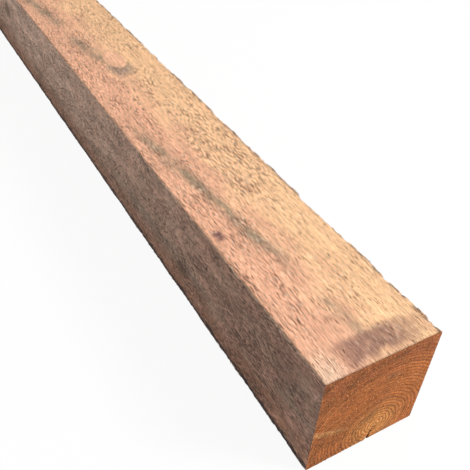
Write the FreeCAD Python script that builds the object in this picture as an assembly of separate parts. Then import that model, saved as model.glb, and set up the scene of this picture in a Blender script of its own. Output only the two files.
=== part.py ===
"""Rough-sawn square timber post: one length of softwood, band-sawn on its four long faces and cross-cut
square at both ends. Lying on its underside it is 100 mm wide (X), 1800 mm long (Y) and 100 mm high (Z).

The origin is the middle of the underside, +Y runs along the grain towards the far end and +Z is up.
The heart of the tree lies low in the section. At the near end the wood has dried and split from the heart
down to the underside, and the saw has torn splinters out of the upper right arris.
All sizes are in millimetres.
"""

import FreeCAD, Part
import os

# Sawn size
WIDTH = 100.0  # across the grain, X
HEIGHT = 100.0  # across the grain, Z
LENGTH = 1800.0  # along the grain, Y
ARRIS_WEAR = 0.6  # the flat that handling leaves along each long corner

# Heart check: the drying split in the near end, open at the underside and closed at the heart
HEART_FROM_RIGHT = 41.0  # the heart, from the right face
HEART_HEIGHT = 14.0  # where the split closes, above the underside
CHECK_FROM_RIGHT = 45.0  # where the split opens in the underside, from the right face
CHECK_WIDTH = 2.2  # its mouth, at the end face
CHECK_LENGTH = 120.0  # how far it runs into the post along the underside

# Torn arris, upper right. Each tear is (start, deepest, end) from the near end, then its depth across the
# top face and down the right face.
TEARS = [
    (44.0, 61.0, 65.0, 4.0, 5.0),
    (92.0, 172.0, 177.0, 4.5, 6.0),
    (257.0, 262.0, 294.0, 2.6, 3.5),
    (306.0, 324.0, 345.0, 3.2, 4.0),
    (428.0, 444.0, 470.0, 2.4, 3.0),
    (474.0, 493.0, 499.0, 2.2, 4.0),
    (700.0, 716.0, 790.0, 2.8, 3.4),
    (1015.0, 1092.0, 1098.0, 3.4, 5.0),
    (1390.0, 1402.0, 1450.0, 2.6, 3.2),
]

CUT_CLEARANCE = 1.0  # how far each cutting shape stands out of the wood

RIGHT = WIDTH / 2
NEAR_END = -LENGTH / 2
Vec = FreeCAD.Vector


def sawn_baulk():
    """The squared length of timber, with its long corners worn."""
    baulk = Part.makeBox(WIDTH, LENGTH, HEIGHT, Vec(-WIDTH / 2, NEAR_END, 0))
    arrises = [edge for edge in baulk.Edges if edge.Length > 0.9 * LENGTH and is_along_grain(edge)]
    return baulk.makeChamfer(ARRIS_WEAR, arrises)


def is_along_grain(edge):
    direction = edge.tangentAt(edge.FirstParameter)
    return abs(direction.y) > 0.99


def bipyramid(tip, section, other_tip):
    """The closed shape with a triangular section and a tip on each side of it, which cuts a splinter away."""
    faces = []
    for apex in (tip, other_tip):
        for corner, following in zip(section, section[1:] + section[:1]):
            faces.append(Part.Face(Part.makePolygon([apex, corner, following, apex])))
    solid = Part.Solid(Part.Shell(faces))
    if solid.Volume < 0:
        solid.reverse()
    return solid


def heart_check():
    """The split from the underside up to the heart, which closes towards the tail."""
    mouth_x = RIGHT - CHECK_FROM_RIGHT
    heart = Vec(RIGHT - HEART_FROM_RIGHT, NEAR_END, HEART_HEIGHT)
    tail = Vec(mouth_x, NEAR_END + CHECK_LENGTH, 0)
    corners = [heart]
    for side in (-1, 1):
        lip = Vec(mouth_x + side * CHECK_WIDTH / 2, NEAR_END, 0)
        below = CUT_CLEARANCE / HEART_HEIGHT
        corners.append(lip + (lip - heart) * below)
    past_end = 1 + CUT_CLEARANCE / CHECK_LENGTH
    section = [tail + (corner - tail) * past_end for corner in corners]
    outside = Vec(mouth_x, NEAR_END - 2 * CUT_CLEARANCE, 0)
    return bipyramid(tail, section, outside)


def torn_splinter(start, deepest, end, across, down):
    """The sliver that the saw tore out of the upper right arris."""
    arris = Vec(RIGHT, NEAR_END + deepest, HEIGHT)
    out_x = CUT_CLEARANCE * across / down
    out_z = CUT_CLEARANCE * down / across
    section = [
        arris + Vec(CUT_CLEARANCE, 0, CUT_CLEARANCE),
        arris + Vec(-across - out_x, 0, CUT_CLEARANCE),
        arris + Vec(CUT_CLEARANCE, 0, -down - out_z),
    ]
    tips = [Vec(RIGHT, NEAR_END + place, HEIGHT) for place in (start, end)]
    return bipyramid(tips[0], section, tips[1])


post = sawn_baulk()
post = post.cut([heart_check()] + [torn_splinter(*tear) for tear in TEARS])
post = post.Solids[0]

os.makedirs("parts", exist_ok=True)
post.exportStep("parts/timber_post.step")
print("timber_post:", "valid" if post.isValid() else "NOT VALID", round(post.Volume / 1e3, 1), "cm3")
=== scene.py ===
"""A rough-sawn square timber post on a pale floor: the sawn baulk with its relief, knots, stains and heart
check, the fibres that the saw raised on its faces, the splinters along its arrises and the fuzz on its ends.

Lengths in this file are metres, and the shader and relief fields work in millimetres where they say so.
"""

import math
import bmesh
import bpy
import numpy as np
from mathutils import Matrix, Vector


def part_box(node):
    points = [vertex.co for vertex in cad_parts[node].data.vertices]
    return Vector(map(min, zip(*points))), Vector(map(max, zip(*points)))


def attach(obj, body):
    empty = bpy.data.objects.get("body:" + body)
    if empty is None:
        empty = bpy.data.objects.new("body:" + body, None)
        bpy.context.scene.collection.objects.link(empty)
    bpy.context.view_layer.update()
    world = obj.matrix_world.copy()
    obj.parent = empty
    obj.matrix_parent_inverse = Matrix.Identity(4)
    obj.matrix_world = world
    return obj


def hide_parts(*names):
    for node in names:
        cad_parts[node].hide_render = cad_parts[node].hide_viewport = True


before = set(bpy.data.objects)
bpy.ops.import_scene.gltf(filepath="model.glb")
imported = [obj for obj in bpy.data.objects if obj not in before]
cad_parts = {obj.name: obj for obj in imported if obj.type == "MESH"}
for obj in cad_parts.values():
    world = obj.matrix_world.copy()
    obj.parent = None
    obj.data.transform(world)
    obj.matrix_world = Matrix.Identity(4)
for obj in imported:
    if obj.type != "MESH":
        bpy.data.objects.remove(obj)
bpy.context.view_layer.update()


# ---------------------------------------------------------------------------------------------------------
# Camera: held above and to the left of the near end, looking down along the post, tilted a few degrees.
# The near end fills the lower right of the view and the post runs out of its upper left corner.
# ---------------------------------------------------------------------------------------------------------
LEFT, NEAR_END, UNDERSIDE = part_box("timber_post")[0]
RIGHT, FAR_END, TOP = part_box("timber_post")[1]
WIDTH, LENGTH, HEIGHT = RIGHT - LEFT, FAR_END - NEAR_END, TOP - UNDERSIDE
CAMERA_OFFSET = Vector((-2.357, -1.756, 4.231)) * WIDTH  # from the middle of the near end's bottom edge
CAMERA_LOOK = Vector((0.411, 0.648, -0.641))
CAMERA_RIGHT = Vector((0.867, -0.495, 0.056))
LENS_MM, SENSOR_MM = 49.1, 36.0


def aimed_camera():
    data = bpy.data.cameras.new("camera")
    data.lens, data.sensor_width = LENS_MM, SENSOR_MM
    data.clip_start, data.clip_end = 0.01, 50
    camera = bpy.data.objects.new("camera", data)
    back = -CAMERA_LOOK.normalized()
    side = (CAMERA_RIGHT - back * CAMERA_RIGHT.dot(back)).normalized()
    camera.matrix_world = Matrix((side, back.cross(side), back)).transposed().to_4x4()
    camera.location = Vector(((LEFT + RIGHT) / 2, NEAR_END, UNDERSIDE)) + CAMERA_OFFSET
    bpy.context.scene.collection.objects.link(camera)
    bpy.context.scene.camera = camera


aimed_camera()


# ---------------------------------------------------------------------------------------------------------
# Studio: a pale floor, one large soft lamp above the right of the near end and an even pale sky.
# The post's top is fully lit, its near end about two thirds lit and its left face in soft shade.
# ---------------------------------------------------------------------------------------------------------
MM = 0.001
FLOOR_SIDE = 12.0
FLOOR_GAP = 0.2 * MM  # below the sawn size's underside, so that the two don't share a plane
FLOOR_COLOUR = (0.9, 0.9, 0.9)
SKY_COLOUR = (1.0, 1.0, 1.0)
SKY_STRENGTH = 0.42
LAMP_PLACE = Vector((1.9, -1.9, 2.2))
LAMP_SIDE = 1.1
LAMP_WATTS = 118.0
SHADOW_SHARE = 0.07  # how much of the floor's own shading the camera sees; the rest is plain white


class Value:
    """One socket of a node tree. An expression on Values adds the nodes that work it out: numbers go
    through Math, and colours and vectors through Mix and Vector Math."""

    def __init__(self, tree, socket=None):
        self.tree, self.socket = tree, socket

    def node(self, kind, settings=None, inputs=None, out=0):
        """Adds a node. settings are its own properties, inputs its sockets by name or place."""
        made = self.tree.nodes.new(kind)
        for name, setting in (settings or {}).items():
            if name == "stops":
                set_ramp(made.color_ramp, setting)
            else:
                setattr(made, name, setting)
        for name, given in (inputs or {}).items():
            socket = made.inputs[name]
            if isinstance(given, Value):
                self.tree.links.new(given.socket, socket)
            elif socket.type == "RGBA" and len(given) == 3:
                socket.default_value = (*given, 1)
            else:
                socket.default_value = given
        return Value(self.tree, made.outputs[out] if made.outputs else None)

    def is_wide(self):
        return self.socket.type in ("RGBA", "VECTOR")

    def math(self, operation, *others):
        """Plain numbers where all are plain, and otherwise three numbers at a time."""
        values = [self, *others]
        wide = any(v.is_wide() if isinstance(v, Value) else isinstance(v, tuple) for v in values)
        if not wide:
            return self.node("ShaderNodeMath", {"operation": operation}, dict(enumerate(values)))
        values = [v if isinstance(v, (Value, tuple)) else (v, v, v) for v in values]
        return self.node("ShaderNodeVectorMath", {"operation": operation}, dict(enumerate(values)))

    def __add__(self, other):
        return self.math("ADD", other)

    def __sub__(self, other):
        return self.math("SUBTRACT", other)

    def __rsub__(self, number):
        return self.node("ShaderNodeMath", {"operation": "SUBTRACT"}, {0: number, 1: self})

    def __mul__(self, other):
        return self.math("MULTIPLY", other)

    def __truediv__(self, other):
        return self.math("DIVIDE", other)

    def __pow__(self, other):
        return self.math("POWER", other)

    def __abs__(self):
        return self.math("ABSOLUTE")

    def least(self, other):
        return self.math("MINIMUM", other)

    def most(self, other):
        return self.math("MAXIMUM", other)

    def smooth(self, start, end):
        """0 before start and 1 after end, with an even passage between. start may be the larger."""
        settings = {"interpolation_type": "SMOOTHSTEP"}
        return self.node("ShaderNodeMapRange", settings, {0: self, 1: start, 2: end, 3: 0.0, 4: 1.0})

    def bell(self, centre, spread):
        """1 at centre, and falling away to nothing over about twice the spread."""
        away = (self - centre) / spread
        return (away * away * -1.0).math("EXPONENT")

    def parts(self):
        split = self.node("ShaderNodeSeparateXYZ", None, {0: self}).socket.node
        return [Value(self.tree, socket) for socket in split.outputs]

    def vector(self, x, y, z):
        return self.node("ShaderNodeCombineXYZ", None, {0: x, 1: y, 2: z})

    def towards(self, other, share):
        """This colour, mixed with other by share."""
        return self.node("ShaderNodeMix", {"data_type": "RGBA"}, {0: share, 6: self, 7: other}, out=2)

    def noise(self, size, detail=2.0, roughness=0.5, seed=0.0):
        """Noise from 0 to 1 about 0.5. size is a spot's (x, y, z) size in the units of this position."""
        place = self / size + (seed * 7.31, seed * 3.17, seed * 5.71)
        inputs = {"Vector": place, "Scale": 1.0, "Detail": detail, "Roughness": roughness}
        return self.node("ShaderNodeTexNoise", {"noise_dimensions": "3D"}, inputs)


def set_ramp(ramp, stops):
    while len(ramp.elements) < len(stops):
        ramp.elements.new(0.5)
    for element, (place, colour) in zip(ramp.elements, stops):
        element.position, element.color = place, (*colour, 1)


def empty_material(name):
    material = bpy.data.materials.new(name)
    material.use_nodes = True
    material.node_tree.nodes.clear()
    return material


def seen_directly(start):
    """1 for the rays that show the white surround: those from the camera, a mirror or a clear piece."""
    rays = start.node("ShaderNodeLightPath").socket.node.outputs
    camera, glossy, through = (Value(start.tree, rays[name]) for name in
                               ("Is Camera Ray", "Is Glossy Ray", "Is Transmission Ray"))
    return (camera + glossy + through).least(1.0)


def studio_floor():
    half = FLOOR_SIDE / 2
    mesh = bpy.data.meshes.new("studio_floor")
    level = UNDERSIDE - FLOOR_GAP
    corners = [(-half, -half, level), (half, -half, level), (half, half, level), (-half, half, level)]
    mesh.from_pydata(corners, [], [(0, 1, 2, 3)])
    floor = bpy.data.objects.new("studio_floor", mesh)
    bpy.context.scene.collection.objects.link(floor)
    material = empty_material("studio_floor")
    start = Value(material.node_tree)
    paint = start.node("ShaderNodeBsdfDiffuse", None, {"Color": FLOOR_COLOUR})
    white = start.node("ShaderNodeEmission", None, {"Color": (1.0, 1.0, 1.0), "Strength": 1.0})
    share = seen_directly(start) * (1 - SHADOW_SHARE)
    shown = start.node("ShaderNodeMixShader", None, {0: share, 1: paint, 2: white})
    start.node("ShaderNodeOutputMaterial", None, {0: shown})
    mesh.materials.append(material)


def studio_light():
    world = bpy.data.worlds.new("studio_sky")
    bpy.context.scene.world = world
    world.use_nodes = True
    world.node_tree.nodes.clear()
    start = Value(world.node_tree)
    strength = seen_directly(start) * (1 - SKY_STRENGTH) + SKY_STRENGTH
    sky = start.node("ShaderNodeBackground", None, {"Color": SKY_COLOUR, "Strength": strength})
    start.node("ShaderNodeOutputWorld", None, {0: sky})
    data = bpy.data.lights.new("key_lamp", "AREA")
    data.shape, data.size, data.energy = "DISK", LAMP_SIDE, LAMP_WATTS
    lamp = bpy.data.objects.new("key_lamp", data)
    lamp.location = LAMP_PLACE + Vector((0, NEAR_END / 2, 0))
    aim = Vector((0, NEAR_END / 2, TOP)) - lamp.location
    lamp.rotation_euler = aim.to_track_quat("-Z", "Y").to_euler()
    bpy.context.scene.collection.objects.link(lamp)


studio_floor()
studio_light()
bpy.context.scene.view_settings.view_transform = "Standard"


# ---------------------------------------------------------------------------------------------------------
# The sawn baulk: one squared length of softwood from low in the trunk, with its heart near the underside.
# It was band-sawn on four faces and cross-cut at both ends, which left shallow marks across the faces and
# frayed the arrises. A drying split runs from the heart to the underside at the near end.
# ---------------------------------------------------------------------------------------------------------
HEART = (9.0, 16.5)  # x and z of the heart at the near end, in mm from the section's middle and underside
RING_WIDTH = 3.0  # mm between two winters
HEART_STRAY = 16.0  # how far the heart strays from a straight line, over its whole range, mm
STRAY_START = 250.0  # mm from the near end over which the stray sets in
WOOD_SHEEN = 0.25  # specular level of dry sawn softwood
# Each knot is its face, how far it lies from the near end, its place across the face, its two radii, in mm
KNOTS = {
    "top": [(484.0, 2.0, 17.0, 9.5), (1010.0, -18.0, 10.0, 8.0), (1490.0, 12.0, 14.0, 10.0)],
    "left": [(202.0, 30.0, 8.0, 6.0), (770.0, 62.0, 11.0, 9.0), (1300.0, 40.0, 9.0, 7.0)],
    "right": [(340.0, 46.0, 10.0, 8.0), (905.0, 30.0, 8.0, 7.0), (1480.0, 66.0, 12.0, 9.0)],
    "underside": [(610.0, -8.0, 9.0, 7.0), (1220.0, 14.0, 10.0, 8.0)],
}


class Wood:
    """Where a point of the wood is, in mm, how far out from the heart it grew, and the marks near it."""

    def __init__(self, tree):
        self.start = Value(tree)
        place = self.start.node("ShaderNodeTexCoord", None, None, out=3)
        self.mm = place * (1 / MM)
        self.x, y, self.z = self.mm.parts()
        self.along = y - NEAR_END / MM
        self.sway = self.mm.noise((60.0, 260.0, 60.0), 1.0, 0.5, 1)
        lift = self.mm.noise((60.0, 240.0, 60.0), 1.0, 0.5, 2)
        stray = self.along.smooth(0.0, STRAY_START) * HEART_STRAY
        across = self.x - HEART[0] - (self.sway - 0.5) * stray
        up = self.z - HEART[1] - (lift - 0.5) * stray
        self.from_heart = (across * across + up * up) ** 0.5

    def grown(self, knots=0.0):
        """How far out from the heart a point grew, in mm. The rings bend round the knots."""
        wander = (self.mm.noise((16.0, 110.0, 16.0), 2.0, 0.5, 3) - 0.5) * 3.4
        return self.from_heart + wander - knots * 5.0

    def rings(self, grown):
        """The late wood of each ring, 1 at its dark outer line."""
        part = (grown / RING_WIDTH).math("FRACT")
        return part.smooth(0.35, 0.9) * part.smooth(1.0, 0.93)

    def seasons(self, grown):
        """Runs of dry and wet years, which make groups of rings paler or darker."""
        return self.start.vector(grown, 0.0, 0.0).noise((4.6, 1.0, 1.0), 2.0, 0.6, 27) - 0.5

    def away(self, across, place, side, long_radius, wide_radius):
        """How far a point is from the middle of an oval mark on a face: 1 on the oval's line."""
        step_along = (self.along - place) / long_radius
        step_across = (across - side) / wide_radius
        return (step_along * step_along + step_across * step_across) ** 0.5

    def knot(self, face, across):
        """How near a knot of this face is: 1 in its core, falling to 0 at 2.4 times its radius."""
        nearness = None
        for oval in KNOTS[face]:
            near = self.away(across, *oval).smooth(2.4, 0.6)
            nearness = near if nearness is None else nearness.most(near)
        return nearness

    def streak(self, across, start, end, width, fades):
        """A stain along the grain from start to end, each (along, across), with soft frayed sides."""
        slope = (end[1] - start[1]) / (end[0] - start[0])
        line = across - (self.along - start[0]) * slope - start[1]
        line = line + (self.mm.noise((30.0, 60.0, 30.0), 2.0, 0.6, 4) - 0.5) * width
        inside = self.along.smooth(start[0] - fades, start[0] + fades)
        inside = inside * self.along.smooth(end[0] + fades, end[0] - fades)
        return line.bell(0.0, width) * inside


def finish_wood(wood, colour, roughness, relief):
    """The dull surface of dry wood. relief is in mm."""
    bump = wood.start.node("ShaderNodeBump", None, {"Strength": 1.0, "Distance": 1.0, "Height": relief * MM})
    shader = wood.start.node("ShaderNodeBsdfPrincipled", None,
                             {"Base Color": colour, "Roughness": roughness, "Normal": bump})
    shader.socket.node.inputs["Specular IOR Level"].default_value = WOOD_SHEEN
    wood.start.node("ShaderNodeOutputMaterial", None, {0: shader})


def face_material(name, face, tones, marks, stains, raised=0.0):
    """A sawn face. tones are its colours, marks the strength of each kind of mark, and stains adds the face's
    own stains to the colour it is given. raised is for loose fibres: how much paler they are."""
    material = empty_material(name)
    wood = Wood(material.node_tree)
    across = wood.x if face in ("top", "underside") else wood.z
    knot = wood.knot(face, across)
    rings = wood.rings(wood.grown(knot))
    long = marks["long"]
    fibre = wood.mm.noise((0.8, 6.5 * long, 0.8), 2.0, 0.65, 5) - 0.5
    tuft = wood.mm.noise((1.1, 16.0 * long, 1.1), 2.0, 0.6, 6) - 0.5
    streak = wood.mm.noise((2.6, 130.0, 2.6), 3.0, 0.62, 15) - 0.5
    line = wood.mm.noise((0.7, 26.0 * long, 0.7), 2.0, 0.6, 20) - 0.5
    patch = wood.mm.noise((14.0, 38.0, 14.0), 2.0, 0.5, 7) - 0.5
    region = marks["torn"](wood, across)
    rough = (wood.mm.noise((15.0, 44.0, 15.0), 2.0, 0.55, 26) - 0.5) * 2.2 + region + 0.5
    rough = rough.least(1.2).most(0.1) * (1.0 - knot.smooth(0.5, 0.9) * 0.8)
    torn = wood.mm.noise((0.9, 7.5 * long, 0.9), 1.0, 0.5, 8) + rough * 0.14
    # The pits' dark colour is painted shadow of the torn grain; their depth, in the relief below, is real.
    shaded_pits = torn.smooth(0.685, 0.76)
    hair = wood.mm.noise((0.9, 6.0, 0.9), 1.0, 0.5, 9).smooth(0.60, 0.72) * (rough * 0.7 + 0.3)
    blend = (patch * 1.6 + marks["blend"](wood, across)).smooth(0.0, 1.0)
    colour = wood.start.node("ShaderNodeMix", {"data_type": "RGBA"},
                             {0: blend, 6: tones["plain"], 7: tones["second"]}, out=2)
    colour = colour.towards(tones["rings"], rings * marks["rings"])
    colour = stains(wood, across, colour, knot)
    colour = colour.towards(tones["shaded_pits"], shaded_pits * marks["shaded_pits"])
    bruised = (tuft + fibre * 0.5).smooth(-0.02, -0.2) * rough
    colour = colour.towards(tones["bruise"], bruised * marks["bruise"])
    brushed = wood.along.smooth(62.0, 28.0)
    shade = (fibre * marks["fibre"] + tuft * marks["tuft"] * (1 - brushed * 0.8)) * (rough * 0.65 + 0.35)
    shade = shade + streak * marks["streak"] + line * marks["line"] * (brushed * 0.6 + 0.7)
    shade = shade + patch * marks["patch"]
    colour = colour * (shade + 1.0).most(0.25)
    colour = colour.towards(tones["hair"], (hair * marks["hair"] + raised).least(1.0))
    relief = (fibre * 0.2 + tuft * 0.3) * rough * (1 - brushed * 0.7) + line * 0.18 - shaded_pits * 0.3 + hair * 0.1
    finish_wood(wood, colour, fibre * 0.15 + 0.86, relief)
    return material


# Top: weathered peach and tan, pinker on the left and yellower on the right. Its marks, in mm: each grey
# streak is its start and end (along, across), its width, how softly it starts and ends, and its strength.
GREY_STREAKS = [
    ((110.0, -11.0), (325.0, -36.0), 6.0, 26.0, 1.0),
    ((480.0, -10.0), (560.0, -25.0), 9.0, 16.0, 0.9),
    ((600.0, -22.0), (740.0, -40.0), 8.0, 25.0, 1.0),
    ((24.0, -1.0), (66.0, -7.0), 5.0, 10.0, 0.6),
]
STICKER_STAIN = (0.0, 29.0)  # where the damp batten that lay across the near end began and ended
BRUISE = (155.0, -40.0, 7.0, 4.5)  # a dark knock: its place, as the knots have it
KNOT_SHADOW = (459.0, 0.0, 22.0, 17.0)  # grey dirt held by the raised grain before the first knot


TOP_STAINS = {"grey streak": (0.27, 0.21, 0.135), "batten mark": (0.275, 0.142, 0.105),
              "dry corner": (0.88, 0.60, 0.42), "bruise": (0.16, 0.07, 0.075),
              "knot dirt": (0.29, 0.21, 0.16), "knot core": (0.87, 0.48, 0.31),
              "right arris": (0.12, 0.075, 0.055), "left arris": (0.95, 0.70, 0.50)}


def top_stains(wood, x, colour, knot):
    """Grey streaks, the batten's wet mark, the bruise, the knot and the grey grime before it, and the two
    arrises, the right one with dark dashes that are partly painted shadow and partly grime.
    """
    mottle = wood.mm.noise((3.0, 9.0, 3.0), 2.0, 0.6, 11).smooth(0.2, 0.6)
    grey = None
    for start, end, width, fades, strength in GREY_STREAKS:
        streak = wood.streak(x, start, end, width, fades) * strength
        grey = streak if grey is None else grey.most(streak)
    darkening = wood.mm.noise((9.0, 22.0, 9.0), 1.0, 0.5, 18).smooth(0.3, 0.62)
    colour = colour.towards(TOP_STAINS["grey streak"], grey * (darkening * 0.55 + mottle * 0.25 + 0.3) * 0.85)
    cloudy = wood.mm.noise((12.0, 12.0, 12.0), 2.0, 0.6, 19) - 0.5
    edge = wood.along + (mottle - 0.5) * 3.0 + cloudy * 9.0
    began, ended = STICKER_STAIN
    band = edge.smooth(began, began + 11.0) * edge.smooth(ended, ended - 7.5)
    side = x + cloudy * 14.0
    reach = side.smooth(-40.0, -14.0) * (side.smooth(48.0, 12.0) * 0.75 + 0.25)
    soaked = band * (reach * 0.88 + 0.08) * (mottle * 0.3 + 0.7) * 0.95
    colour = colour.towards(TOP_STAINS["batten mark"], soaked)
    pale = wood.along.smooth(34.0, 8.0) * x.smooth(-26.0, -40.0)
    colour = colour.towards(TOP_STAINS["dry corner"], pale * 0.7)
    spot = (wood.away(x, *BRUISE) + cloudy * 1.6).smooth(1.3, 0.4)
    colour = colour.towards(TOP_STAINS["bruise"], spot * (mottle * 0.5 + 0.5))
    lee = (wood.away(x, *KNOT_SHADOW) + cloudy * 0.9).smooth(1.15, 0.45)
    lee = lee * (1.0 - knot.smooth(0.5, 0.8)) * (mottle * 0.4 + 0.6)
    colour = colour.towards(TOP_STAINS["knot dirt"], lee * 0.85)
    core = (knot + cloudy * 0.3).smooth(0.6, 0.92)
    colour = colour.towards(TOP_STAINS["knot core"], core * 0.85)
    # Dark dashes along the right arris: partly painted shadow of its torn splinters, partly grime.
    dark_edge = x.smooth(43.5, 48.0) * wood.mm.noise((2.0, 9.0, 2.0), 2.0, 0.6, 16).smooth(0.42, 0.54)
    colour = colour.towards(TOP_STAINS["right arris"], dark_edge * 0.8)
    fray = (x + mottle * 2.6).smooth(-46.4, -48.6)
    return colour.towards(TOP_STAINS["left arris"], fray * 0.8)


def top_torn(wood, x):
    """Where the saw tore the top: most on the right, from about 0.2 m to 0.3 m from the near end."""
    right = x.smooth(-8.0, 6.0) * wood.along.smooth(150.0, 215.0)
    right = right * (1.0 - wood.along.smooth(300.0, 350.0) * 0.6)
    left = x.smooth(-4.0, -14.0) * wood.along.smooth(24.0, 60.0)
    return right * 0.7 + left * 0.4 - 0.25


def top_blend(wood, x):
    """From the plain tone on the left to the second on the right."""
    return x / 45.0 + 0.5


# Each face's pit tone, here and below, is painted shadow in its torn pits.
TOP_TONES = {"plain": (0.80, 0.425, 0.27), "second": (0.89, 0.545, 0.30), "rings": (0.55, 0.30, 0.18),
             "shaded_pits": (0.25, 0.115, 0.07), "hair": (0.98, 0.78, 0.60), "bruise": (0.42, 0.16, 0.10)}
TOP_MARKS = {"long": 1.0, "torn": top_torn, "blend": top_blend, "rings": 0.18, "shaded_pits": 0.85,
             "hair": 0.65, "bruise": 0.28, "fibre": 2.9, "tuft": 0.5, "line": 0.72,
             "streak": 0.7, "patch": 0.4}


# Left: the face in shade, its tones darker than the top's partly for weathering and grime and partly as
# painted shade; greyer above and redder below
LEFT_STAINS = {"dry": (0.68, 0.48, 0.37), "low": (0.47, 0.235, 0.145), "red": (0.58, 0.33, 0.24),
               "green": (0.25, 0.20, 0.15), "painted contact shadow": (0.03, 0.027, 0.032),
               "crest": (0.80, 0.56, 0.40), "knot": (0.15, 0.095, 0.065)}


def left_stains(wood, z, colour, knot):
    """Painted shade near the end and painted light beyond it, red and green patches, a painted contact shadow
    along the bottom and a pale crest above.
    """
    mottle = wood.mm.noise((4.0, 11.0, 5.0), 2.0, 0.6, 13).smooth(0.25, 0.65)
    wide = wood.mm.noise((16.0, 32.0, 13.0), 3.0, 0.6, 17)
    # Darker near the end and paler farther along: painted shade and painted light for the uneven light on
    # this face.
    darkening = wood.along.smooth(190.0, 20.0) * (1.0 - z.smooth(50.0, 110.0) * 0.5)
    colour = colour * (1.0 - darkening * 0.3)
    dry = wood.along.smooth(60.0, 620.0) * z.smooth(4.0, 48.0)
    colour = colour.towards(LEFT_STAINS["dry"], dry * 0.85)
    low = (z + (wood.sway - 0.5) * 24.0 + (wide - 0.5) * 40.0).smooth(34.0, 10.0)
    colour = colour.towards(LEFT_STAINS["low"], low * (mottle * 0.5 + 0.2))
    red = wide.smooth(0.50, 0.66)
    colour = colour.towards(LEFT_STAINS["red"], red * 0.5)
    green = wood.streak(z, (130.0, 38.0), (350.0, 34.0), 7.0, 45.0)
    green = green.most(wood.streak(z, (0.0, 47.0), (45.0, 44.0), 4.0, 15.0))
    green = green.most(wide.smooth(0.44, 0.30) * 0.6)
    colour = colour.towards(LEFT_STAINS["green"], green * 0.5)
    # A nearly black line along the bottom edge: a painted contact shadow.
    dark_edge = (z + mottle * 4.0).smooth(10.5, 6.0)
    colour = colour.towards(LEFT_STAINS["painted contact shadow"], dark_edge * 0.92)
    crest = (z + mottle * 4.0).smooth(100.0, 102.0)
    colour = colour.towards(LEFT_STAINS["crest"], crest * 0.8)
    return colour.towards(LEFT_STAINS["knot"], knot.smooth(0.45, 1.0) * 0.75)


def even_torn(wood, across):
    """Torn a little, and alike all over."""
    return wood.sway * 0.4 - 0.1


def even_blend(wood, across):
    """The two tones in long even bands."""
    return wood.sway


# These tones are partly painted shade: darker than the top's by more than this face's weathering.
LEFT_TONES = {"plain": (0.38, 0.215, 0.155), "second": (0.345, 0.225, 0.16), "rings": (0.24, 0.14, 0.10),
              "shaded_pits": (0.11, 0.065, 0.05), "hair": (0.70, 0.49, 0.37), "bruise": (0.24, 0.12, 0.10)}
LEFT_MARKS = {"long": 0.6, "torn": even_torn, "blend": even_blend, "rings": 0.2, "shaded_pits": 0.7,
              "hair": 0.75, "bruise": 0.25, "fibre": 5.6, "tuft": 1.2, "line": 0.8,
              "streak": 0.5, "patch": 1.3}


# Right and underside: as the top, without its stains, a little greyer
KNOT_RIM, KNOT_CORE = (0.33, 0.22, 0.15), (0.55, 0.28, 0.17)


def plain_stains(wood, across, colour, knot):
    """A dark rim round each knot, and its reddish core."""
    colour = colour.towards(KNOT_RIM, knot.smooth(0.05, 0.5) * knot.smooth(0.98, 0.6) * 0.7)
    return colour.towards(KNOT_CORE, knot.smooth(0.8, 1.0) * 0.8)


RIGHT_TONES = {"plain": (0.66, 0.37, 0.25), "second": (0.70, 0.44, 0.27), "rings": (0.46, 0.26, 0.155),
               "shaded_pits": (0.22, 0.115, 0.07), "hair": (0.90, 0.68, 0.50), "bruise": (0.40, 0.19, 0.13)}
RIGHT_MARKS = {"long": 1.0, "torn": even_torn, "blend": even_blend, "rings": 0.3, "shaded_pits": 0.75,
               "hair": 0.5, "bruise": 0.3, "fibre": 2.0, "tuft": 1.0, "line": 0.9,
               "streak": 1.1, "patch": 0.7}
UNDER_TONES = {"plain": (0.55, 0.33, 0.22), "second": (0.50, 0.32, 0.22), "rings": (0.38, 0.225, 0.145),
               "shaded_pits": (0.2, 0.11, 0.07), "hair": (0.78, 0.58, 0.42), "bruise": (0.33, 0.17, 0.12)}
FACES = {
    "underside": (UNDER_TONES, RIGHT_MARKS, plain_stains),
    "right": (RIGHT_TONES, RIGHT_MARKS, plain_stains),
    "top": (TOP_TONES, TOP_MARKS, top_stains),
    "left": (LEFT_TONES, LEFT_MARKS, left_stains),
}


# Ends: redder at the rim and yellower at the heart, with dark late wood and pale fuzz
END_TONES = [(0.0, (0.37, 0.112, 0.026)), (1.0, (0.53, 0.225, 0.06))]  # from the rim to the heart
END_MARKS = {"late wood": (0.15, 0.036, 0.01), "weathered top": (0.21, 0.055, 0.02),
             "pale seam": (0.58, 0.31, 0.12), "dark spot": (0.15, 0.075, 0.035), "hair": (0.78, 0.37, 0.14)}
FUZZ_SLANT = 0.7  # how far the cross-cut saw dragged the fibres off the level


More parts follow.
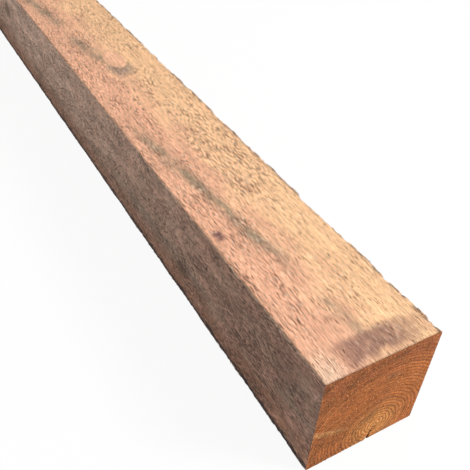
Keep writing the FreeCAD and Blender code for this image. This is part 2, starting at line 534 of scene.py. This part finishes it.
def end_grain_material(name, raised=0.0):
    """A cross-cut end: orange-brown rings about the heart, with the fuzz that the saw leaves."""
    material = empty_material(name)
    wood = Wood(material.node_tree)
    grown = wood.grown()
    rings = wood.rings(grown)
    seasons = wood.seasons(grown)
    slant = wood.start.vector(wood.x + wood.z * FUZZ_SLANT, wood.along, wood.z - wood.x * FUZZ_SLANT)
    fuzz = slant.noise((2.6, 3.0, 0.9), 2.0, 0.65, 21) - 0.5
    lump = wood.mm.noise((2.6, 3.0, 2.6), 2.0, 0.6, 23) - 0.5
    blotch = wood.mm.noise((13.0, 14.0, 11.0), 3.0, 0.55, 22) - 0.5
    near_heart = wood.from_heart.smooth(36.0, 5.0)
    colour = wood.start.node("ShaderNodeValToRGB", {"stops": END_TONES}, {0: near_heart})
    clear = (blotch * 1.6 + 0.95).least(1.0).most(0.6)
    colour = colour.towards(END_MARKS["late wood"], rings * clear * 0.85)
    dark_top = (wood.z + blotch * 26.0).smooth(66.0, 94.0)
    colour = colour.towards(END_MARKS["weathered top"], dark_top * 0.62)
    seam = wood.x.smooth(-12.0, -30.0) * (wood.z + wood.x * 0.4 + lump * 4.0).bell(23.0, 2.4)
    colour = colour.towards(END_MARKS["pale seam"], seam * (fuzz * 2.0 + 0.55))
    dark_spot = (wood.x + lump * 6.0).bell(13.0, 6.0) * (wood.z + fuzz * 6.0).bell(73.0, 3.0)
    colour = colour.towards(END_MARKS["dark spot"], dark_spot * 0.6)
    hair = slant.noise((1.8, 2.0, 0.7), 1.0, 0.5, 24).smooth(0.60, 0.70)
    shade = fuzz * 2.6 + lump * 0.4 + blotch * 1.1 + seasons * 1.3 + wood.x * 0.003 + 0.97
    colour = colour * shade.most(0.3)
    colour = colour.towards(END_MARKS["hair"], (hair * 0.62 + raised).least(1.0))
    relief = fuzz * 0.3 + lump * 0.3 - rings * 0.1
    finish_wood(wood, colour, fuzz * 0.15 + 0.85, relief)
    return material


END_FACE = end_grain_material("cross_cut_end")
FACE_MATERIALS = [face_material("sawn_" + face, face, *FACES[face]) for face in FACES] + [END_FACE]


# Both colours are painted shade for the deep, narrow split; the second is a little lighter where dust lies.
CHECK_SHADOW, CHECK_SHADED_DUST = (0.05, 0.016, 0.008), (0.18, 0.06, 0.024)


def check_walls_material():
    """The walls of the drying split, painted dark as the shade inside it, with dust in patches."""
    material = empty_material("heart_check_walls")
    wood = Wood(material.node_tree)
    grime = wood.mm.noise((1.5, 6.0, 1.5), 2.0, 0.6, 25)
    colour = wood.start.node("ShaderNodeMix", {"data_type": "RGBA"},
                             {0: grime, 6: CHECK_SHADOW, 7: CHECK_SHADED_DUST}, out=2)
    shader = wood.start.node("ShaderNodeBsdfPrincipled", None, {"Base Color": colour, "Roughness": 0.95})
    wood.start.node("ShaderNodeOutputMaterial", None, {0: shader})
    return material


CHECK_WALLS = check_walls_material()


# Lattice lines from an arris to the middle of a face, in mm, and rows of quads along the post
END_SIDE = len(FACES)  # both ends, after the four sawn faces
HALF_FACE_STEPS = [0.0, 0.7, 1.6, 2.8, 4.5, 7.0, 10.5, 15.0, 20.5, 27.0, 34.0, 42.0, 50.0]
ROWS = 960
CHECK_MOUTH = 5.0  # x where the heart check opens in the underside, mm
CHECK_LEAN = 3.6  # how far it leans over on its way up to the heart
CHECK_WIDTH = 2.6
CHECK_DEPTH = 14.0
CHECK_LENGTH = 120.0
PAST_END, PAST_UNDERSIDE = 2.0, 1.0  # how far the cutter stands out of the wood, mm


def face_steps(low, high):
    """The lattice lines across a face: fine near both arrises and wide in the middle."""
    share = [step / (2 * HALF_FACE_STEPS[-1]) for step in HALF_FACE_STEPS]
    share += [1 - s for s in reversed(share[:-1])]
    return [low + (high - low) * s for s in share]


def baulk_lattice():
    """A closed box of quads with the shape of the sawn size, and a bake map of eight long strips."""
    xs, zs = face_steps(LEFT, RIGHT), face_steps(UNDERSIDE, TOP)
    ys = np.linspace(NEAR_END, FAR_END, ROWS + 1)
    spans = len(xs) - 1
    ring = [(x, zs[0]) for x in xs[:-1]] + [(xs[-1], z) for z in zs[:-1]]
    ring += [(x, zs[-1]) for x in xs[:0:-1]] + [(xs[0], z) for z in zs[:0:-1]]
    count = len(ring)
    verts = [(x, y, z) for y in ys for x, z in ring]
    faces, sides, maps = [], [], []
    half = ROWS // 2
    for j in range(ROWS):
        strip, row = (0, j) if j < half else (1, j - half)
        for k in range(count):
            after = (k + 1) % count
            faces.append((j * count + k, j * count + after, (j + 1) * count + after, (j + 1) * count + k))
            side, step = divmod(k, spans)
            sides.append(side)
            lines = (xs, zs)[side % 2]
            low, high = ((line - lines[0]) / (lines[-1] - lines[0]) for line in lines[step:step + 2])
            maps.append(strip_map(2 * side + strip, row / half, (row + 1) / half, low, high))
    for end, row in enumerate((0, ROWS)):
        grid = {}
        for k, (x, z) in enumerate(ring):
            grid[xs.index(x), zs.index(z)] = row * count + k
        for i in range(1, spans):
            for j in range(1, spans):
                grid[i, j] = len(verts)
                verts.append((xs[i], ys[row], zs[j]))
        for i in range(spans):
            for j in range(spans):
                corners = [(i, j), (i + 1, j), (i + 1, j + 1), (i, j + 1)]
                corners = corners if end == 0 else corners[::-1]
                faces.append(tuple(grid[c] for c in corners))
                sides.append(END_SIDE)
                places = [((xs[a] - xs[0]) / WIDTH, (zs[b] - zs[0]) / HEIGHT) for a, b in corners]
                maps.append([end_map(end, across, up) for across, up in places])
    mesh = bpy.data.meshes.new("sawn_baulk")
    mesh.from_pydata(verts, [], faces)
    layer = mesh.uv_layers.new(name="OFBake")
    layer.data.foreach_set("uv", np.array(maps, np.float32).ravel())
    for material in (*FACE_MATERIALS, CHECK_WALLS):
        mesh.materials.append(material)
    mesh.polygons.foreach_set("material_index", sides)
    mesh.polygons.foreach_set("use_smooth", [True] * len(faces))
    baulk = bpy.data.objects.new("sawn_baulk", mesh)
    bpy.context.scene.collection.objects.link(baulk)
    return baulk


STRIPS = 2 * len(FACES)  # on the bake map, one for each half of each long face
STRIP_HEIGHT = 0.107
STRIP_GAP = 0.004


def strip_map(strip, start, end, low, high):
    base = strip * (STRIP_HEIGHT + STRIP_GAP) + STRIP_GAP
    bottom, top = base + low * STRIP_HEIGHT, base + high * STRIP_HEIGHT
    left, right = STRIP_GAP + start * (1 - 2 * STRIP_GAP), STRIP_GAP + end * (1 - 2 * STRIP_GAP)
    return [(left, bottom), (left, top), (right, top), (right, bottom)]


def end_map(end, across, up):
    side = 1 - STRIPS * (STRIP_HEIGHT + STRIP_GAP) - 2 * STRIP_GAP
    left = STRIP_GAP + end * (side + STRIP_GAP)
    return (left + across * side, 1 - STRIP_GAP - side + up * side)


def relief_tree():
    """Moves the baulk's skin in: saw marks, torn patches and frayed arrises. Sizes are in mm."""
    tree = bpy.data.node_groups.new("sawn_relief", "GeometryNodeTree")
    sizes = {"Saw mark pitch": 7.0, "Saw mark depth": 0.16, "Unevenness": 0.5,
             "Arris wear": 1.9, "Arris fray": 1.5, "Torn bites": 11.0}
    tree.interface.new_socket("Geometry", in_out="INPUT", socket_type="NodeSocketGeometry")
    for name, size in sizes.items():
        tree.interface.new_socket(name, in_out="INPUT", socket_type="NodeSocketFloat").default_value = size
    tree.interface.new_socket("Geometry", in_out="OUTPUT", socket_type="NodeSocketGeometry")
    start = Value(tree)
    entry = tree.nodes.new("NodeGroupInput")
    given = {socket.name: Value(tree, socket) for socket in entry.outputs if socket.name}
    place = start.node("GeometryNodeInputPosition")
    mm = place * (1 / MM)
    x, y, z = mm.parts()
    middle = (UNDERSIDE + TOP) / 2 / MM
    side_x = x / (WIDTH / 2 / MM)
    side_z = (z - middle) / (HEIGHT / 2 / MM)
    side_y = y / (LENGTH / 2 / MM)
    on_x, on_z = (abs(side).smooth(0.90, 0.985) for side in (side_x, side_z))
    from_arris = (WIDTH / 2 / MM - abs(x)).most(HEIGHT / 2 / MM - abs(z - middle))
    frayed = mm.noise((3.0, 7.0, 3.0), 3.0, 0.6, 31)
    hairy = mm.noise((1.2, 3.2, 1.2), 2.0, 0.6, 32)
    crisp_below = z.smooth(5.0, 60.0) * 0.85 + 0.15
    worn = given["Arris wear"] * crisp_below * (mm.noise((20.0, 30.0, 20.0), 2.0, 0.5, 33) + 0.45)
    close = (1 - from_arris / worn).most(0.0)
    arris_drop = worn * 0.3 * close * close
    ragged = (frayed - 0.42).most(0.0) + (hairy - 0.5) * 0.35
    ragged = from_arris.smooth(3.6, 0.0) * crisp_below * ragged * given["Arris fray"]
    torn_side = x.smooth(25.0, 42.0) * z.smooth(75.0, 92.0)
    bites = (mm.noise((5.0, 13.0, 5.0), 3.0, 0.7, 37) - 0.47).most(0.0) * given["Torn bites"]
    ragged = ragged + from_arris.smooth(5.0, 0.0) * torn_side * bites
    marks = (y / given["Saw mark pitch"] + mm.noise((60.0, 90.0, 60.0), 1.0, 0.5, 34) * 2.0) * math.tau
    marks = (marks.math("SINE") * 0.5 + 0.5) * given["Saw mark depth"]
    uneven = mm.noise((24.0, 70.0, 24.0), 2.0, 0.5, 35) * given["Unevenness"]
    drop = arris_drop + ragged.most(0.0) + marks + uneven
    out = start.vector(side_x.math("SIGN") * on_x, 0.0, side_z.math("SIGN") * on_z)
    end_drop = mm.noise((2.6, 30.0, 2.6), 2.0, 0.6, 36) * 0.5
    end_drop = end_drop + from_arris.smooth(2.2, 0.0) * frayed * crisp_below * 0.9
    is_end = abs(side_y).smooth(0.9996, 0.9999)
    shift = out * (drop * -MM) + start.vector(0.0, side_y.math("SIGN") * is_end * end_drop * -MM, 0.0)
    moved = start.node("GeometryNodeSetPosition", None, {"Geometry": given["Geometry"], "Offset": shift})
    done = start.node("GeometryNodeRealizeInstances", None, {0: moved})
    index = start.node("GeometryNodeInputMaterialIndex")
    for side, material in enumerate(FACE_MATERIALS):
        here = start.node("FunctionNodeCompare", {"data_type": "INT", "operation": "EQUAL"},
                          {2: index, 3: side})
        done = start.node("GeometryNodeSetMaterial", None,
                          {"Geometry": done, "Selection": here, "Material": material})
    leave = tree.nodes.new("NodeGroupOutput")
    tree.links.new(done.socket, leave.inputs[0])
    return tree


def heart_check_wedge():
    """The shape of the split at the near end: widest at the underside, wavering up to the heart."""
    levels, stations = 7, 13
    verts, faces = [], []
    for s in range(stations):
        along = s / (stations - 1)
        y = NEAR_END + (-PAST_END + (CHECK_LENGTH + PAST_END) * along) * MM
        left = 1 - along ** 1.6
        for level in range(levels):
            up = level / (levels - 1)
            z = UNDERSIDE + (-PAST_UNDERSIDE + (CHECK_DEPTH * max(left, 0.05) + PAST_UNDERSIDE) * up) * MM
            waver = 0.55 * math.sin(level * 2.1 + s * 0.9) * up
            x = LEFT + WIDTH / 2 + (CHECK_MOUTH + CHECK_LEAN * up * left + waver) * MM
            uneven = 1 + 0.25 * math.sin(level * 3.7 + s)
            half = max(CHECK_WIDTH / 2 * left * (1 - up) ** 0.6 * uneven, 0.02) * MM
            verts += [(x - half, y, z), (x + half, y, z)]
    stride = 2 * levels
    for s in range(stations - 1):
        for level in range(levels - 1):
            a = s * stride + 2 * level
            faces.append((a, a + stride, a + stride + 2, a + 2))
            faces.append((a + 1, a + 3, a + stride + 3, a + stride + 1))
        a = s * stride
        faces.append((a, a + 1, a + stride + 1, a + stride))
        a += 2 * (levels - 1)
        faces.append((a, a + stride, a + stride + 1, a + 1))
    for level in range(levels - 1):
        a = 2 * level
        faces.append((a, a + 2, a + 3, a + 1))
        a += (stations - 1) * stride
        faces.append((a, a + 1, a + 3, a + 2))
    mesh = bpy.data.meshes.new("heart_check")
    mesh.from_pydata(verts, [], faces)
    shape = bmesh.new()
    shape.from_mesh(mesh)
    bmesh.ops.recalc_face_normals(shape, faces=shape.faces)
    shape.to_mesh(mesh)
    shape.free()
    mesh.uv_layers.new(name="OFBake")
    mesh.materials.append(CHECK_WALLS)
    wedge = bpy.data.objects.new("heart_check", mesh)
    bpy.context.scene.collection.objects.link(wedge)
    return wedge


def plain_mesh(thing, name):
    """A new object at the origin with the finished mesh of thing, which is removed."""
    bpy.context.view_layer.update()
    shape = thing.evaluated_get(bpy.context.evaluated_depsgraph_get())
    mesh = bpy.data.meshes.new_from_object(shape)
    mesh.name = name
    done = bpy.data.objects.new(name, mesh)
    bpy.context.scene.collection.objects.link(done)
    bpy.data.objects.remove(thing)
    return done


def finish_piece(piece):
    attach(piece, "root")
    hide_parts("timber_post")


def sawn_baulk():
    rough = baulk_lattice()
    wrap = rough.modifiers.new("to_sawn_shape", "SHRINKWRAP")
    wrap.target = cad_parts["timber_post"]
    relief = rough.modifiers.new("relief", "NODES")
    relief.node_group = relief_tree()
    wedge = heart_check_wedge()
    split = rough.modifiers.new("heart_check", "BOOLEAN")
    split.object, split.operation, split.solver = wedge, "DIFFERENCE", "EXACT"
    baulk = plain_mesh(rough, "timber_post_wood")
    bpy.data.objects.remove(wedge)
    return baulk


BAULK = sawn_baulk()
finish_piece(BAULK)


# ---------------------------------------------------------------------------------------------------------
# Raised fibres: slivers a few millimetres long that the saw lifted and left lying along the grain, thick
# in patches. They are part of the wood, so each has the colour of the face it lies on.
# ---------------------------------------------------------------------------------------------------------
def sliver_shape():
    """A closed splinter one unit long with a three-sided section, whose far tip stands up."""
    verts = [(-0.5, 0.0, -0.2), (0.0, -0.5, -0.3), (0.0, 0.5, -0.3), (0.0, 0.0, 0.5), (0.5, 0.0, 0.9)]
    faces = [(0, 2, 1), (0, 3, 2), (0, 1, 3), (4, 1, 2), (4, 2, 3), (4, 3, 1)]
    mesh = bpy.data.meshes.new("sliver")
    mesh.from_pydata(verts, [], faces)
    return bpy.data.objects.new("sliver", mesh)


def random_number(start, seed, low, high, stream):
    """A number for each sliver from low to high. Each stream draws its own."""
    settings = {"data_type": "FLOAT"}
    inputs = {2: low, 3: high, "Seed": seed + stream * 17.0}
    return start.node("FunctionNodeRandomValue", settings, inputs, out=1)


def scatter_tree():
    """Scatters slivers over one side of the baulk, laid along one direction. Sizes are in mm."""
    tree = bpy.data.node_groups.new("scattered_slivers", "GeometryNodeTree")
    sockets = {"Geometry": "Geometry", "Sliver": "Object", "Material": "Material", "Lay": "Vector",
               "Side": "Int", "Seed": "Int"}
    sockets.update(dict.fromkeys(("Per square metre", "Length", "Width", "Lift", "Sway", "Arris reach",
                                  "Rim clearance"), "Float"))
    for name, kind in sockets.items():
        tree.interface.new_socket(name, in_out="INPUT", socket_type="NodeSocket" + kind)
    tree.interface.new_socket("Geometry", in_out="OUTPUT", socket_type="NodeSocketGeometry")
    entry = tree.nodes.new("NodeGroupInput")
    given = {socket.name: Value(tree, socket) for socket in entry.outputs if socket.name}
    start = Value(tree)
    mm = start.node("GeometryNodeInputPosition") * (1 / MM)
    x, y, z = mm.parts()
    from_side = WIDTH / 2 / MM - abs(x)
    from_level = HEIGHT / 2 / MM - abs(z - (UNDERSIDE + TOP) / 2 / MM)
    from_end = LENGTH / 2 / MM - abs(y)
    index = start.node("GeometryNodeInputMaterialIndex")
    here = start.node("FunctionNodeCompare", {"data_type": "INT", "operation": "EQUAL"},
                      {2: index, 3: given["Side"]})
    near = from_side.most(from_level).math("LESS_THAN", given["Arris reach"])
    inset = from_end.most(from_side.least(from_level)).math("GREATER_THAN", given["Rim clearance"])
    patch = mm.noise((9.0, 26.0, 9.0), 2.0, 0.5, 41).smooth(0.42, 0.64) + 0.06
    density = given["Per square metre"] * patch * near * inset
    points = start.node("GeometryNodeDistributePointsOnFaces", {"distribute_method": "RANDOM"},
                        {"Mesh": given["Geometry"], "Selection": here, "Density": density,
                         "Seed": given["Seed"]})
    normal = Value(tree, points.socket.node.outputs["Normal"])
    flip = random_number(start, given["Seed"], 0.0, 1.0, 1).math("GREATER_THAN", 0.4) * 2.0 - 1.0
    lay = given["Lay"] * flip
    turned = start.node("FunctionNodeAlignRotationToVector", {"axis": "X"}, {"Vector": lay})
    turned = start.node("FunctionNodeAlignRotationToVector", {"axis": "Z", "pivot_axis": "X"},
                        {"Rotation": turned, "Vector": normal})
    yaw = random_number(start, given["Seed"], -1.0, 1.0, 2) * random_number(start, given["Seed"], 0.0, 1.0, 3)
    pitch = random_number(start, given["Seed"], -1.0, 0.25, 4)
    roll = random_number(start, given["Seed"], -0.6, 0.6, 5)
    tip = start.node("FunctionNodeEulerToRotation", None,
                     {0: start.vector(roll, pitch * given["Lift"], yaw * given["Sway"])})
    turned = start.node("FunctionNodeRotateRotation", {"rotation_space": "LOCAL"}, {0: turned, 1: tip})
    long = random_number(start, given["Seed"], 0.3, 1.3, 6) * given["Length"]
    wide = random_number(start, given["Seed"], 0.45, 1.3, 7) * given["Width"]
    size = start.vector(long, wide, wide * 0.7) * MM
    shape = start.node("GeometryNodeObjectInfo", None, {"Object": given["Sliver"]}, out="Geometry")
    laid = start.node("GeometryNodeInstanceOnPoints", None,
                      {"Points": points, "Instance": shape, "Rotation": turned, "Scale": size})
    real = start.node("GeometryNodeRealizeInstances", None, {0: laid})
    done = start.node("GeometryNodeSetMaterial", None, {"Geometry": real, "Material": given["Material"]})
    leave = tree.nodes.new("NodeGroupOutput")
    tree.links.new(done.socket, leave.inputs[0])
    return tree


SLIVER = sliver_shape()
SCATTER = scatter_tree()


def scattered(name, **sizes):
    """Makes a piece of slivers scattered over the baulk, with the tree's named sizes."""
    carrier = bpy.data.objects.new("carrier", BAULK.data)
    bpy.context.scene.collection.objects.link(carrier)
    scatter = carrier.modifiers.new("scatter", "NODES")
    scatter.node_group = SCATTER
    for item in SCATTER.interface.items_tree:
        if item.in_out == "INPUT" and item.name in sizes:
            scatter[item.identifier] = sizes[item.name]
    finish_piece(plain_mesh(carrier, name))


GRAIN = (0.0, 1.0, 0.0)
FIBRE_DENSITY = {"underside": 160e3, "right": 300e3, "top": 300e3, "left": 300e3}
for side, face in enumerate(FACES):
    pale = face_material("raised_on_" + face, face, *FACES[face], raised=0.22)
    scattered(face + "_raised_fibres", **{
        "Sliver": SLIVER, "Material": pale, "Side": side, "Seed": 100 + side, "Lay": GRAIN,
        "Per square metre": FIBRE_DENSITY[face], "Length": 4.2, "Width": 0.5, "Lift": 0.09, "Sway": 0.5,
        "Arris reach": 60.0, "Rim clearance": 24.0,
    })


# ---------------------------------------------------------------------------------------------------------
# Frayed arrises: longer splinters that hang on along the four long corners, in patches.
# ---------------------------------------------------------------------------------------------------------
# The right face's splinters are painted nearly black: painted shadow, for the dark shaded chips along that
# arris.
FRAY_COLOUR = {"underside": (0.42, 0.27, 0.19), "right": (0.085, 0.055, 0.04), "top": (0.72, 0.48, 0.33),
               "left": (0.62, 0.44, 0.33)}
for side, face in enumerate(FACES):
    tones, marks, stains = FACES[face]
    tones = dict(tones, hair=FRAY_COLOUR[face])
    frayed = face_material("frayed_" + face, face, tones, marks, stains, raised=0.6)
    scattered(face + "_arris_splinters", **{
        "Sliver": SLIVER, "Material": frayed, "Side": side, "Seed": 200 + side, "Lay": GRAIN,
        "Per square metre": 2600e3, "Length": 7.0, "Width": 0.8, "Lift": 0.2, "Sway": 0.35,
        "Arris reach": 1.6, "Rim clearance": 5.0,
    })


# ---------------------------------------------------------------------------------------------------------
# Fuzz on the ends: short broken fibres that the cross-cut saw dragged over the end grain.
# ---------------------------------------------------------------------------------------------------------
scattered("end_fuzz", **{
    "Sliver": SLIVER, "Material": end_grain_material("end_fuzz", raised=0.25), "Side": END_SIDE, "Seed": 300,
    "Lay": (0.8, 0.0, 0.6), "Per square metre": 1300e3, "Length": 2.2, "Width": 0.5, "Lift": 0.22,
    "Sway": 1.2, "Arris reach": 60.0, "Rim clearance": 0.6,
})
